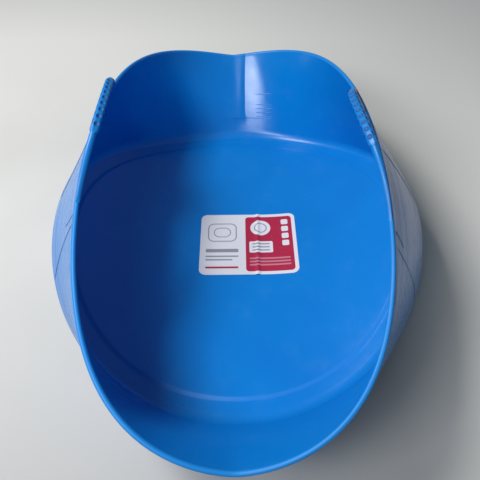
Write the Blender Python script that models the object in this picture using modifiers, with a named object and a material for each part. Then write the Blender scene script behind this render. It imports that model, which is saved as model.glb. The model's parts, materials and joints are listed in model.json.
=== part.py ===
"""Flexible tub of soft blue plastic, shown with its mouth squeezed in at the two handles.

The tub is moulded round. Every piece is first laid out flat, as if the tub were opened
into a disc, and one function then raises the wall and squeezes the whole tub into the
long shape that it takes when its handles lean in. Metres, +Z up, handles on the X sides,
origin on the ground under the middle of the tub.
"""
import math

import bmesh
import bpy
import numpy as np
from mathutils import Matrix, Vector

# The moulding
WALL = 0.0032
PANEL_RADIUS = 0.2165
PANEL_RAISE = 0.0025
SHOULDER = 0.006
FOOT_DEPTH = 0.0003
BASE_RADIUS = 0.245
CORNER = 0.009
WALL_HEIGHT = 0.125
BEAD_WIDTH = 0.005
BEAD_HEIGHT = 0.007

# The squeezed shape
FLAT_HALF = 0.031
BEND_RADIUS = 0.335
LEFT_EDGE_LIFT, RIGHT_EDGE_LIFT = 37.4, 25.4
MOUTH_WIDE, MOUTH_WIDE_3 = 0.1618, -0.0075
MOUTH_LONG, MOUTH_LONG_3 = 0.3412, 0.0140
MOUTH_END_HEIGHT = 0.1015
MOUTH_SIDE_HEIGHT = 0.1817
MOUTH_CROWN = 0.642
MOUTH_DIP = 0.0031
MOUTH_TWIST = math.radians(1.4)
MOUTH_SHIFT = -0.0024
MOUTH_LEAN = 0.0085
LEFT_BULGE = (-0.0016, -0.0012)
RIGHT_BULGE = (0.0028, 0.0161)
MIDDLE_SHIFT = -0.0019

# The handles
HANDLE_RISE = 0.0465
HANDLE_REACH = 0.112
HANDLE_SWEEP = 2.5
HANDLE_LANDING = 1.3
LEFT_HANDLE = (-0.0169, 3.4, 0.8)
RIGHT_HANDLE = (-0.0079, 0.8, -4.7)
SLOT_HALF = 0.056
SLOT_FLOOR = 0.003
SLOT_HEIGHT = 0.028
LEG_BEAD = 0.0075
GRIP_LENGTH = 0.098
GRIP_DEEP = 0.0145
GRIP_THICK = 0.0094
GRIP_OUTWARD = 0.0034
GRIP_PROUD = 0.0008
GRIP_ROUND = 0.0032
DIMPLE_PITCH = 0.0102
DIMPLE_BALL = 0.0038
DIMPLE_DEPTH = 0.0013
SIDE_DIMPLES_DOWN = 0.003
HINGE_HEIGHT = 0.008
HINGE_OUTWARD = 0.002
HINGE_GAP = 0.0028

# The label on the floor
LABEL_SIZE = (0.132, 0.108)
LABEL_CENTRE = (0.0163, 0.0035)
LABEL_TURN = math.radians(1.2)
LABEL_CORNER = 0.009
LABEL_THICK = 0.0004
LABEL_GAP = 0.0006

GROUND = WALL + FOOT_DEPTH
TURN_STEPS = 92
TABLE_STEP = 0.0005


def bend_table(edge_lift):
    """From the floor's middle to one side: distance along the sheet, and where that point lies."""
    along = np.arange(0.0, 0.3, TABLE_STEP)
    past = np.clip(along - FLAT_HALF, 0.0, None)
    slope = past / BEND_RADIUS + edge_lift * past ** 3
    across = np.concatenate([[0.0], np.cumsum(np.cos(slope[:-1]) * TABLE_STEP)])
    lift = np.concatenate([[0.0], np.cumsum(np.sin(slope[:-1]) * TABLE_STEP)])
    return along, across, lift


def mouth_table():
    """The mouth's edge, at even steps along its length from the right handle."""
    turn = np.linspace(0.0, 2.0 * math.pi, 1441)
    x = MOUTH_WIDE * np.cos(turn) + MOUTH_WIDE_3 * np.cos(3.0 * turn)
    y = MOUTH_LONG * np.sin(turn) + MOUTH_LONG_3 * np.sin(3.0 * turn)
    side = np.clip(1.0 - (y / y.max()) ** 2, 0.0, 1.0)
    rise = (MOUTH_SIDE_HEIGHT - MOUTH_END_HEIGHT) * side ** MOUTH_CROWN
    z = MOUTH_END_HEIGHT + rise - MOUTH_DIP * 4.0 * side * (1.0 - side) - MOUTH_LEAN * x
    cosine, sine = math.cos(MOUTH_TWIST), math.sin(MOUTH_TWIST)
    edge = np.stack([cosine * x - sine * y + MOUTH_SHIFT, sine * x + cosine * y, z], axis=1)
    length = np.concatenate([[0.0], np.cumsum(np.linalg.norm(np.diff(edge, axis=0), axis=1))])
    return length / length[-1], edge, length[-1]


LEFT_BEND = bend_table(LEFT_EDGE_LIFT)
RIGHT_BEND = bend_table(RIGHT_EDGE_LIFT)
MOUTH_SHARE, MOUTH_EDGE, MOUTH_LENGTH = mouth_table()
RIM_REACH = BASE_RADIUS + WALL_HEIGHT


def floor_at(across, along):
    """A point of the floor sheet, after its two sides are bent up."""
    length, reach, lift = LEFT_BEND if across < 0.0 else RIGHT_BEND
    x = np.copysign(np.interp(abs(across), length, reach), across)
    return np.array([x, along, np.interp(abs(across), length, lift)])


def mouth_at(angle):
    share = (angle / (2.0 * math.pi)) % 1.0
    return np.array([np.interp(share, MOUTH_SHARE, MOUTH_EDGE[:, i]) for i in range(3)])


def sheet_at(x, y):
    """Where a point of the flat disc lies on the inside of the squeezed tub."""
    reach = math.hypot(x, y)
    if reach < BASE_RADIUS - CORNER:
        return floor_at(x, y)
    ux, uy = x / reach, y / reach
    base = floor_at(ux * BASE_RADIUS, uy * BASE_RADIUS)
    mouth = mouth_at(math.atan2(uy, ux))
    if reach > RIM_REACH:
        return mouth + (mouth - base) * (reach - RIM_REACH) / np.linalg.norm(mouth - base)
    even, to_front = LEFT_BULGE if ux < 0.0 else RIGHT_BULGE
    bulge = np.array([ux * (even - uy * to_front), 0.0, 0.0])
    if reach > BASE_RADIUS + CORNER:
        t = (reach - BASE_RADIUS) / WALL_HEIGHT
        return base + (mouth - base) * t + bulge * 4.0 * t * (1.0 - t)
    start = floor_at(ux * (BASE_RADIUS - CORNER), uy * (BASE_RADIUS - CORNER))
    share = CORNER / WALL_HEIGHT
    end = base + (mouth - base) * share + bulge * 4.0 * share * (1.0 - share)
    t = (reach - BASE_RADIUS + CORNER) / (2.0 * CORNER)
    return start * (1 - t) ** 2 + base * 2 * t * (1 - t) + end * t ** 2


def form(x, y, height):
    """Squeeze one point: height is above the disc, which is the tub's inner side."""
    step = 0.001
    across = sheet_at(x + step, y) - sheet_at(x - step, y)
    along = sheet_at(x, y + step) - sheet_at(x, y - step)
    inward = np.cross(across, along)
    place = sheet_at(x, y) + inward / np.linalg.norm(inward) * height
    return Vector((place[0] + MIDDLE_SHIFT, place[1], place[2] + GROUND))


def on_wall(handle, length, rise, outward):
    """A point beside a handle: along the rim, up from it, and out from the wall's inner side.

    Each handle has its place along the rim, the angle at which it stands up straighter than
    the wall below it, and a small turn about the upright.
    """
    middle, stand, turn = handle
    angle = middle + length / (MOUTH_LENGTH / (2.0 * math.pi))
    ux, uy = math.cos(angle), math.sin(angle)
    if rise <= 0.0:
        return form((RIM_REACH + rise) * ux, (RIM_REACH + rise) * uy, -outward)
    outward += length * math.tan(turn) * min(rise / HANDLE_RISE, 1.0)
    edge = form(RIM_REACH * ux, RIM_REACH * uy, 0.0)
    out = (form(RIM_REACH * ux, RIM_REACH * uy, -0.01) - edge).normalized()
    up = (form((RIM_REACH + 0.01) * ux, (RIM_REACH + 0.01) * uy, 0.0) - edge).normalized()
    straight_up = up * math.cos(stand) + out * math.sin(stand)
    straight_out = out * math.cos(stand) - up * math.sin(stand)
    return edge + straight_up * rise + straight_out * outward


def handle_place(side, measures):
    """Angle of a handle's middle on the flat disc, with its stand and its turn in radians."""
    along, stand, turn = measures
    return side + along / (MOUTH_LENGTH / (2.0 * math.pi)), math.radians(stand), math.radians(turn)


def form_mesh(mesh, place):
    for vertex in mesh.vertices:
        vertex.co = place(*vertex.co)


def clear_scene():
    for thing in list(bpy.data.objects):
        bpy.data.objects.remove(thing, do_unlink=True)


def new_collection(name):
    collection = bpy.data.collections.new(name)
    bpy.context.scene.collection.children.link(collection)
    return collection


def new_material(name, colour, roughness):
    material = bpy.data.materials.new(name)
    material.use_nodes = True
    shader = material.node_tree.nodes["Principled BSDF"]
    shader.inputs["Base Color"].default_value = (*colour, 1.0)
    shader.inputs["Roughness"].default_value = roughness
    shader.inputs["Metallic"].default_value = 0.0
    return material


def new_object(name, mesh, collection, material=None):
    thing = bpy.data.objects.new(name, mesh)
    collection.objects.link(thing)
    if material:
        mesh.materials.clear()
        mesh.materials.append(material)
    return thing


def evaluated_mesh(thing):
    graph = bpy.context.evaluated_depsgraph_get()
    return bpy.data.meshes.new_from_object(thing.evaluated_get(graph))


def mesh_from(bm, name):
    mesh = bpy.data.meshes.new(name)
    bm.to_mesh(mesh)
    bm.free()
    return mesh


def boolean(thing, other, operation):
    modifier = thing.modifiers.new(other.name, "BOOLEAN")
    modifier.operation = operation
    modifier.object = other
    modifier.solver = "EXACT"
    other.hide_render = True
    other.display_type = "WIRE"


def shell_profile():
    """Flat section of the moulding from the middle, over the inside to the rim, and back beneath."""
    panel = [(r, PANEL_RAISE) for r in np.linspace(0.0, PANEL_RADIUS, 8)]
    steps = np.linspace(0.0, 1.0, 4)[1:]
    ease = steps ** 2 * (3.0 - 2.0 * steps)
    shoulder = [(PANEL_RADIUS + SHOULDER * t, PANEL_RAISE * (1.0 - e)) for t, e in zip(steps, ease)]
    corner = [(r, 0.0) for r in np.linspace(BASE_RADIUS - CORNER, BASE_RADIUS + CORNER, 5)]
    wall = [(r, 0.0) for r in np.linspace(BASE_RADIUS + CORNER, RIM_REACH - BEAD_HEIGHT, 4)[1:]]
    inside = panel + shoulder + corner + wall
    half = BEAD_WIDTH / 2.0
    turns = np.radians(np.linspace(90.0, -90.0, 6))
    bead = [(RIM_REACH - half + half * math.cos(a), half * math.sin(a) - half) for a in turns]
    bead.append((RIM_REACH - BEAD_HEIGHT + 0.001, -BEAD_WIDTH))
    under_wall = [(r, -WALL) for r, _ in reversed(corner + wall)]
    foot = [(PANEL_RADIUS + SHOULDER, -WALL - FOOT_DEPTH), (PANEL_RADIUS, -WALL - FOOT_DEPTH)]
    under_panel = [(r - 0.003, PANEL_RAISE - WALL) for r in np.linspace(PANEL_RADIUS, 0.033, 7)]
    middle = [(0.0, PANEL_RAISE - WALL)]
    under_wall = [(r, h - (FOOT_DEPTH if r < BASE_RADIUS - CORNER / 2 else 0.0)) for r, h in under_wall]
    return inside + bead + under_wall + foot + under_panel + middle


def turned_disc(collection):
    """The whole moulding as a flat disc, turned from its section."""
    bm = bmesh.new()
    points = [bm.verts.new((r, 0.0, h)) for r, h in shell_profile()]
    for a, b in zip(points, points[1:]):
        bm.edges.new((a, b))
    disc = new_object("disc", mesh_from(bm, "disc"), collection)
    screw = disc.modifiers.new("turn", "SCREW")
    screw.axis = "Z"
    screw.steps = TURN_STEPS
    screw.render_steps = TURN_STEPS
    screw.use_merge_vertices = True
    screw.merge_threshold = 0.00001
    mesh = evaluated_mesh(disc)
    bpy.data.objects.remove(disc)
    return mesh


def outer_edge(length):
    """Height of the handle's top edge above the rim, sweeping up out of the rim and down again."""
    return HANDLE_RISE * (1.0 - min(abs(length) / HANDLE_REACH, 1.0) ** HANDLE_SWEEP) ** HANDLE_LANDING


def arch_outlines(turn):
    """Outer and inner edge of a handle's arch at one turn, from 0 at one foot to pi at the other."""
    reach = -HANDLE_REACH * math.cos(turn)
    side = math.copysign(math.sqrt(abs(math.cos(turn))), -math.cos(turn))
    inner = (SLOT_HALF * side, SLOT_FLOOR + SLOT_HEIGHT * math.sqrt(max(math.sin(turn), 0.0)))
    return (reach, outer_edge(reach)), inner


def arch_section(outer, inner):
    """Closed section from the arch's outer edge to its inner edge: a thin wall with a round bead."""
    bead = BEAD_WIDTH + (LEG_BEAD - BEAD_WIDTH) * outer[1] / HANDLE_RISE
    width = math.hypot(outer[0] - inner[0], outer[1] - inner[1])
    section = [(width, 0.5 * WALL), (width - 0.5 * WALL, 0.0), (0.5 * width, 0.0), (0.5 * WALL, 0.0)]
    section += [(0.0, 0.25 * bead), (0.0, 0.75 * bead), (0.2 * bead, bead), (0.7 * bead, bead)]
    section += [(0.7 * bead + bead - WALL, WALL), (width - 0.5 * WALL, WALL)]
    return [(outer[0] + (inner[0] - outer[0]) * w / width,
             outer[1] + (inner[1] - outer[1]) * w / width, d) for w, d in section]


def arch_mesh():
    """The handle's arch as a loft, in length along the rim, rise and distance out."""
    rings = [arch_section(*arch_outlines(turn)) for turn in np.linspace(0.0, math.pi, 31)]
    sunk = [[(l, h - 0.008, d) for l, h, d in ring] for ring in (rings[0], rings[-1])]
    rings = [sunk[0]] + rings + [sunk[1]]
    bm = bmesh.new()
    loops = [[bm.verts.new(p) for p in ring] for ring in rings]
    count = len(loops[0])
    for first, second in zip(loops, loops[1:]):
        for i in range(count):
            j = (i + 1) % count
            bm.faces.new((first[i], first[j], second[j], second[i]))
    bm.faces.new(list(reversed(loops[0])))
    bm.faces.new(loops[-1])
    bmesh.ops.recalc_face_normals(bm, faces=bm.faces)
    return mesh_from(bm, "arch")


def grip_mesh():
    """The thick bar that the hand closes round, bent to the arch's top edge."""
    bm = bmesh.new()
    bmesh.ops.create_cube(bm, size=1.0)
    bmesh.ops.scale(bm, verts=bm.verts, vec=(GRIP_LENGTH, GRIP_DEEP, GRIP_THICK))
    bmesh.ops.bevel(bm, geom=bm.edges[:], offset=GRIP_ROUND, segments=3, profile=0.5, affect="EDGES", material=-1)
    for place in np.linspace(-GRIP_LENGTH / 2.0, GRIP_LENGTH / 2.0, 8)[1:-1]:
        geometry = bm.verts[:] + bm.edges[:] + bm.faces[:]
        bmesh.ops.bisect_plane(bm, geom=geometry, plane_co=(place, 0, 0), plane_no=(1, 0, 0))
    for vertex in bm.verts:
        vertex.co.y += outer_edge(vertex.co.x) - GRIP_DEEP / 2.0 + GRIP_PROUD
        vertex.co.z += GRIP_OUTWARD
    return mesh_from(bm, "grip")


def dimple_mesh():
    """Three staggered rows of round dimples: along the grip's top, its inner and its outer side."""
    bm = bmesh.new()
    sunk = DIMPLE_BALL - DIMPLE_DEPTH
    side = GRIP_THICK / 2.0 + sunk
    down = GRIP_PROUD - SIDE_DIMPLES_DOWN
    rows = [(9, GRIP_PROUD + sunk, GRIP_OUTWARD), (8, down, GRIP_OUTWARD - side), (8, down, GRIP_OUTWARD + side)]
    for count, above, outward in rows:
        for i in range(count):
            place = (i - (count - 1) / 2.0) * DIMPLE_PITCH
            made = bmesh.ops.create_icosphere(bm, subdivisions=2, radius=DIMPLE_BALL)
            bmesh.ops.translate(bm, verts=made["verts"], vec=(place, outer_edge(place) + above, outward))
    return mesh_from(bm, "dimples")


def whole_handle(name, cutters):
    """Arch, grip and recesses joined while the handle still lies flat."""
    arch = new_object(name + "_arch", arch_mesh(), cutters)
    grip = new_object(name + "_grip", grip_mesh(), cutters)
    dimples = new_object(name + "_dimples", dimple_mesh(), cutters)
    boolean(arch, grip, "UNION")
    boolean(arch, dimples, "DIFFERENCE")
    mesh = evaluated_mesh(arch)
    for thing in (arch, grip, dimples):
        bpy.data.objects.remove(thing)
    return mesh


def hinge_frame(handle):
    """Middle of a handle's flex line, its direction, and the way up from it."""
    feet = (SLOT_HALF + HANDLE_REACH) / 2.0 - 0.006
    ends = [on_wall(handle, side * feet, HINGE_HEIGHT, HINGE_OUTWARD) for side in (-1.0, 1.0)]
    above = [on_wall(handle, side * feet, HINGE_HEIGHT + 0.01, HINGE_OUTWARD) for side in (-1.0, 1.0)]
    along = (ends[1] - ends[0]).normalized()
    up = (above[0] + above[1] - ends[0] - ends[1]).normalized()
    up = (up - along * up.dot(along)).normalized()
    return (ends[0] + ends[1]) / 2.0, along, up


def cut_mesh(mesh, point, normal, name):
    """The part of a closed mesh on the side that the normal points to, with its cut closed."""
    bm = bmesh.new()
    bm.from_mesh(mesh)
    geometry = bm.verts[:] + bm.edges[:] + bm.faces[:]
    cut = bmesh.ops.bisect_plane(bm, geom=geometry, plane_co=point, plane_no=normal, clear_inner=True, dist=1e-7)
    edges = [e for e in cut["geom_cut"] if isinstance(e, bmesh.types.BMEdge)]
    bmesh.ops.contextual_create(bm, geom=edges)
    open_edges = [e for e in bm.edges if e.is_boundary]
    if open_edges:
        bmesh.ops.holes_fill(bm, edges=open_edges)
    bmesh.ops.recalc_face_normals(bm, faces=bm.faces)
    return mesh_from(bm, name)


def add_handle(name, place, shell, parts, cutters, material):
    """One handle above its flex line, and its two feet moulded onto the shell below it."""
    mesh = whole_handle(name, cutters)
    form_mesh(mesh, lambda length, rise, outward: on_wall(place, length, rise, outward))
    point, along, up = hinge_frame(place)
    upper = cut_mesh(mesh, point + up * HINGE_GAP / 2.0, up, name)
    lower = cut_mesh(mesh, point - up * HINGE_GAP / 2.0, -up, name + "_feet")
    for vertex in upper.vertices:
        vertex.co -= point
    handle = new_object(name, upper, parts, material)
    handle.location = point
    feet = new_object(name + "_feet", lower, cutters)
    boolean(shell, feet, "UNION")
    print(name, "flex line", [round(v, 5) for v in point], [round(v, 5) for v in along])
    return handle


def label_mesh():
    """A thin plate with round corners, cut into strips so that it can follow the floor."""
    bm = bmesh.new()
    bmesh.ops.create_cube(bm, size=1.0)
    bmesh.ops.scale(bm, verts=bm.verts, vec=(*LABEL_SIZE, LABEL_THICK))
    upright = [e for e in bm.edges if abs(e.verts[0].co.z - e.verts[1].co.z) > LABEL_THICK / 2.0]
    bmesh.ops.bevel(bm, geom=upright, offset=LABEL_CORNER, segments=4, profile=0.5, affect="EDGES", material=-1)
    for place in np.linspace(-LABEL_SIZE[0] / 2.0, LABEL_SIZE[0] / 2.0, 9)[1:-1]:
        geometry = bm.verts[:] + bm.edges[:] + bm.faces[:]
        bmesh.ops.bisect_plane(bm, geom=geometry, plane_co=(place, 0, 0), plane_no=(1, 0, 0))
    bmesh.ops.rotate(bm, verts=bm.verts, matrix=Matrix.Rotation(LABEL_TURN, 3, "Z"))
    lift = PANEL_RAISE + LABEL_GAP + LABEL_THICK / 2.0
    bmesh.ops.translate(bm, verts=bm.verts, vec=(*LABEL_CENTRE, lift))
    return mesh_from(bm, "label")


def build():
    clear_scene()
    parts = new_collection("flexible_tub")
    cutters = new_collection("cutters")
    blue = new_material("tub_plastic", (0.01, 0.19, 0.62), 0.42)
    left_blue = new_material("left_handle_plastic", (0.02, 0.22, 0.66), 0.42)
    right_blue = new_material("right_handle_plastic", (0.02, 0.22, 0.66), 0.42)
    paper = new_material("label_film", (0.85, 0.82, 0.84), 0.35)

    disc = turned_disc(cutters)
    form_mesh(disc, form)
    shell = new_object("tub_shell", disc, parts, blue)

    add_handle("left_handle", handle_place(math.pi, LEFT_HANDLE), shell, parts, cutters, left_blue)
    add_handle("right_handle", handle_place(0.0, RIGHT_HANDLE), shell, parts, cutters, right_blue)

    label = label_mesh()
    form_mesh(label, form)
    new_object("label", label, parts, paper)

    for thing in parts.objects:
        thing.data.shade_smooth()
        thing.data.set_sharp_from_angle(angle=math.radians(35.0))
    graph = bpy.context.evaluated_depsgraph_get()
    for thing in parts.objects:
        mesh = thing.evaluated_get(graph).to_mesh()
        print(thing.name, "triangles", sum(len(face.vertices) - 2 for face in mesh.polygons))


build()
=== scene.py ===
# %% [markdown]
# # A flexible tub of soft blue plastic
# A shallow round tub for feed and yard work, injection moulded in one shot of low-density
# polyethylene. The plastic is soft enough that the two rim handles can be pulled together in
# one hand, and here the mouth stays squeezed in at the handles, so the round tub has become a
# long oval with its two sides curled up.
#
# It could be sculpted as it stands, but every detail would then follow its curves by eye.
# Instead each piece is laid out flat first, as if the tub were opened into a disc, because a
# round moulding is easy to draw that way. One function then raises the wall and squeezes the
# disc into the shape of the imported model, and all the detail follows it.

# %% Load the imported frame
import json
import math

import bmesh
import bpy
import numpy as np
from mathutils import Matrix, Vector


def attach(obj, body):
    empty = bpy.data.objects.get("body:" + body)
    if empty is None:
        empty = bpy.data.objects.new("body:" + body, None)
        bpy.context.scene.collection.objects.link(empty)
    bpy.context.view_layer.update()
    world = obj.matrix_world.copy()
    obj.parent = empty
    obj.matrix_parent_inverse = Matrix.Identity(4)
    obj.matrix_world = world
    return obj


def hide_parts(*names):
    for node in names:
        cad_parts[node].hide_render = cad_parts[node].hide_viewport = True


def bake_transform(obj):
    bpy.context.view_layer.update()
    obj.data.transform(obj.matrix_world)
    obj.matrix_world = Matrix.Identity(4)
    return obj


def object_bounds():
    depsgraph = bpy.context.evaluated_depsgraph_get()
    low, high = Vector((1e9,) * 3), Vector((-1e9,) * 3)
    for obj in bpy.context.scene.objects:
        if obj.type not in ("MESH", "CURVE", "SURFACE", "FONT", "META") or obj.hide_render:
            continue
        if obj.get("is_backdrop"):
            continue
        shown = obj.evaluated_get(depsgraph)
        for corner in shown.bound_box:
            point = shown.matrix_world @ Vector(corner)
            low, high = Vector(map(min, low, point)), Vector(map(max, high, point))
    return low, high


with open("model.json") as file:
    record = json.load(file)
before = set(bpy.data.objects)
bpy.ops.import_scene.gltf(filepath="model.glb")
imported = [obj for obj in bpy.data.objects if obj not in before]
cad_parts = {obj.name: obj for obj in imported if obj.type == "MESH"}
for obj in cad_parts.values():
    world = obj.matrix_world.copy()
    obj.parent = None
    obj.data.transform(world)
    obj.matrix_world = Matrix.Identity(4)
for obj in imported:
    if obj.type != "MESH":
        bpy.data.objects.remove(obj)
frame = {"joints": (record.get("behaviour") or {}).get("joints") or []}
cad_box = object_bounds()

# %% [markdown]
# ## Camera
# The photograph looks down into the tub from the front, at about 48 degrees, with a lens of
# ordinary length. A camera could be placed by eye, but here its place was worked out from the
# sizes of the tub and of its label, so that edges can be compared.

# %% Camera
CAMERA_PLACE = Vector((0.0113, -0.4645, 0.5399))
CAMERA_DOWN = math.radians(48.39)
CAMERA_YAW = math.radians(-1.05)
CAMERA_ROLL = math.radians(-0.40)
CAMERA_LENS = 39.0
CAMERA_SENSOR = 36.0

camera = bpy.data.objects.new("camera", bpy.data.cameras.new("camera"))
camera.data.lens = CAMERA_LENS
camera.data.sensor_width = CAMERA_SENSOR
turned = Matrix.Rotation(-CAMERA_YAW, 4, "Z") @ Matrix.Rotation(math.pi / 2.0 - CAMERA_DOWN, 4, "X")
camera.matrix_world = Matrix.Translation(CAMERA_PLACE) @ turned @ Matrix.Rotation(CAMERA_ROLL, 4, "Z")
bpy.context.scene.collection.objects.link(camera)
bpy.context.scene.camera = camera
print("camera", [round(v, 4) for v in camera.location])

# %% [markdown]
# ## The moulding laid flat
# One wall thickness all over, a floor panel that stands a little proud inside so that the tub
# rests on a ring near its edge, and a rim with a round bead. A soft tub like this leaves its
# mould by being pulled off the core, so nothing on it has a sharp undercut. The sizes are
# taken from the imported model, so that both fit each other.

# %% Sizes of the moulding
WALL = 0.0032
PANEL_RADIUS = 0.2165
PANEL_RAISE = 0.0025
SHOULDER = 0.006
FOOT_DEPTH = 0.0003
BASE_RADIUS = 0.245
CORNER = 0.009
WALL_HEIGHT = 0.125
BEAD_WIDTH = 0.005
BEAD_HEIGHT = 0.007
RIM_REACH = BASE_RADIUS + WALL_HEIGHT
GROUND = WALL + FOOT_DEPTH
print("the tub as a flat disc is", round(2.0 * RIM_REACH, 3), "across")

# %% [markdown]
# ## The squeeze
# Squeezing bends the floor up along its two sides, like a sheet of card, and the mouth becomes
# a long oval that is high at the handles and low at the ends. The floor's bend is tightest at
# its edge. The two sides were never squeezed quite alike, so each has its own bend and its own
# bulge of the wall. A lattice or a scale along one axis could narrow the tub, but both stretch
# its skin. Here the floor keeps its length as it bends and the rim keeps its length round the
# oval, and the wall is spanned between the two.

# %% The floor's bend
FLAT_HALF = 0.031
BEND_RADIUS = 0.335
LEFT_EDGE_LIFT, RIGHT_EDGE_LIFT = 37.4, 25.4
TABLE_LENGTH = 0.3
TABLE_STEP = 0.0005


def bend_table(edge_lift):
    """From the floor's middle to one side: distance along the sheet, and where that point lies."""
    along = np.arange(0.0, TABLE_LENGTH, TABLE_STEP)
    past = np.clip(along - FLAT_HALF, 0.0, None)
    slope = past / BEND_RADIUS + edge_lift * past ** 3
    across = np.concatenate([[0.0], np.cumsum(np.cos(slope[:-1]) * TABLE_STEP)])
    lift = np.concatenate([[0.0], np.cumsum(np.sin(slope[:-1]) * TABLE_STEP)])
    return along, across, lift


LEFT_BEND = bend_table(LEFT_EDGE_LIFT)
RIGHT_BEND = bend_table(RIGHT_EDGE_LIFT)


def floor_at(across, along):
    """Points of the floor sheet, after its two sides are bent up."""
    far = np.abs(across)
    places = []
    for length, reach, lift in (LEFT_BEND, RIGHT_BEND):
        x = np.copysign(np.interp(far, length, reach), across)
        places.append(np.stack([x, along, np.interp(far, length, lift)], axis=-1))
    return np.where((across < 0.0)[..., None], places[0], places[1])


side_lift = float(floor_at(np.array([BASE_RADIUS]), np.zeros(1))[0, 2])
print("the floor's right side is bent up by", round(side_lift, 4))

# %% The mouth's edge
MOUTH_WIDE, MOUTH_WIDE_3 = 0.1618, -0.0075
MOUTH_LONG, MOUTH_LONG_3 = 0.3412, 0.0140
MOUTH_END_HEIGHT = 0.1015
MOUTH_SIDE_HEIGHT = 0.1817
MOUTH_CROWN = 0.642
MOUTH_DIP = 0.0031
MOUTH_TWIST = math.radians(1.4)
MOUTH_SHIFT = -0.0024
MOUTH_LEAN = 0.0085
MOUTH_STEPS = 5760


def mouth_table():
    """The mouth's edge from the right handle on, with the share of its length at each point."""
    turn = np.linspace(0.0, 2.0 * math.pi, MOUTH_STEPS + 1)
    x = MOUTH_WIDE * np.cos(turn) + MOUTH_WIDE_3 * np.cos(3.0 * turn)
    y = MOUTH_LONG * np.sin(turn) + MOUTH_LONG_3 * np.sin(3.0 * turn)
    side = np.clip(1.0 - (y / y.max()) ** 2, 0.0, 1.0)
    rise = (MOUTH_SIDE_HEIGHT - MOUTH_END_HEIGHT) * side ** MOUTH_CROWN
    z = MOUTH_END_HEIGHT + rise - MOUTH_DIP * 4.0 * side * (1.0 - side) - MOUTH_LEAN * x
    cosine, sine = math.cos(MOUTH_TWIST), math.sin(MOUTH_TWIST)
    edge = np.stack([cosine * x - sine * y + MOUTH_SHIFT, sine * x + cosine * y, z], axis=1)
    length = np.concatenate([[0.0], np.cumsum(np.linalg.norm(np.diff(edge, axis=0), axis=1))])
    return length / length[-1], edge, length[-1]


MOUTH_SHARE, MOUTH_EDGE, MOUTH_LENGTH = mouth_table()
MOUTH_RADIUS = MOUTH_LENGTH / (2.0 * math.pi)


def mouth_at(angle):
    """Points of the mouth's edge above an angle on the flat disc."""
    share = (angle / (2.0 * math.pi)) % 1.0
    return np.stack([np.interp(share, MOUTH_SHARE, MOUTH_EDGE[:, i]) for i in range(3)], axis=-1)


print("length of the rim", round(MOUTH_LENGTH, 3))
print("width of the mouth when round", round(2.0 * MOUTH_RADIUS, 3))

# %% From the flat disc to the squeezed tub
LEFT_BULGE = (-0.0016, -0.0012)
RIGHT_BULGE = (0.0028, 0.0161)
MIDDLE_SHIFT = -0.0019
NORMAL_STEP = 0.001
TINY = 1e-9


def sheet_at(x, y):
    """Where points of the flat disc lie on the inside of the squeezed tub."""
    reach = np.hypot(x, y)
    ux, uy = x / np.maximum(reach, TINY), y / np.maximum(reach, TINY)
    base = floor_at(ux * BASE_RADIUS, uy * BASE_RADIUS)
    start = floor_at(ux * (BASE_RADIUS - CORNER), uy * (BASE_RADIUS - CORNER))
    mouth = mouth_at(np.arctan2(uy, ux))
    even = np.where(ux < 0.0, LEFT_BULGE[0], RIGHT_BULGE[0])
    to_front = np.where(ux < 0.0, LEFT_BULGE[1], RIGHT_BULGE[1])
    bulge = np.zeros_like(base)
    bulge[..., 0] = ux * (even - uy * to_front)

    def wall_at(share):
        return base + (mouth - base) * share + bulge * 4.0 * share * (1.0 - share)

    share = ((reach - BASE_RADIUS) / WALL_HEIGHT)[..., None]
    round_share = np.clip((reach - BASE_RADIUS + CORNER) / (2.0 * CORNER), 0.0, 1.0)[..., None]
    corner = start * (1.0 - round_share) ** 2 + base * 2.0 * round_share * (1.0 - round_share)
    corner = corner + wall_at(CORNER / WALL_HEIGHT) * round_share ** 2
    up = (mouth - base) / np.linalg.norm(mouth - base, axis=-1, keepdims=True)
    above = mouth + up * (reach - RIM_REACH)[..., None]
    zone = reach[..., None]
    place = np.where(zone < BASE_RADIUS + CORNER, corner, wall_at(share))
    place = np.where(zone < BASE_RADIUS - CORNER, floor_at(x, y), place)
    return np.where(zone > RIM_REACH, above, place)


def unit(vectors):
    """The same directions with a length of one."""
    return vectors / np.linalg.norm(vectors, axis=-1, keepdims=True)


def form(x, y, height):
    """Squeezed places of points on the disc. height is above it, on the tub's inner side."""
    across = sheet_at(x + NORMAL_STEP, y) - sheet_at(x - NORMAL_STEP, y)
    along = sheet_at(x, y + NORMAL_STEP) - sheet_at(x, y - NORMAL_STEP)
    place = sheet_at(x, y) + unit(np.cross(across, along)) * np.asarray(height)[..., None]
    return place + np.array([MIDDLE_SHIFT, 0.0, GROUND])


rim_ends = form(np.zeros(2), np.array([-RIM_REACH, RIM_REACH]), np.zeros(2))
print("the rim's two ends", rim_ends.round(4).tolist())

# %% [markdown]
# ## Tools for the pieces
# A piece is made flat as a bmesh and turned into an object. The marks of the real mould follow
# the round tub's rings and not the squeezed shape. A UV map could carry them, but it would
# need a seam, so each vertex keeps its flat place in an attribute called flat_place, and the
# materials read it from there.

# %% From a bmesh to a finished object
MERGE = 0.000001
SHARP_ANGLE = math.radians(50.0)


def keep_flat_place(mesh, flat):
    """Store each vertex's place on the flat disc for the materials."""
    attribute = mesh.attributes.new("flat_place", "FLOAT_VECTOR", "POINT")
    attribute.data.foreach_set("vector", flat.astype(np.float32).ravel())


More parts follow.
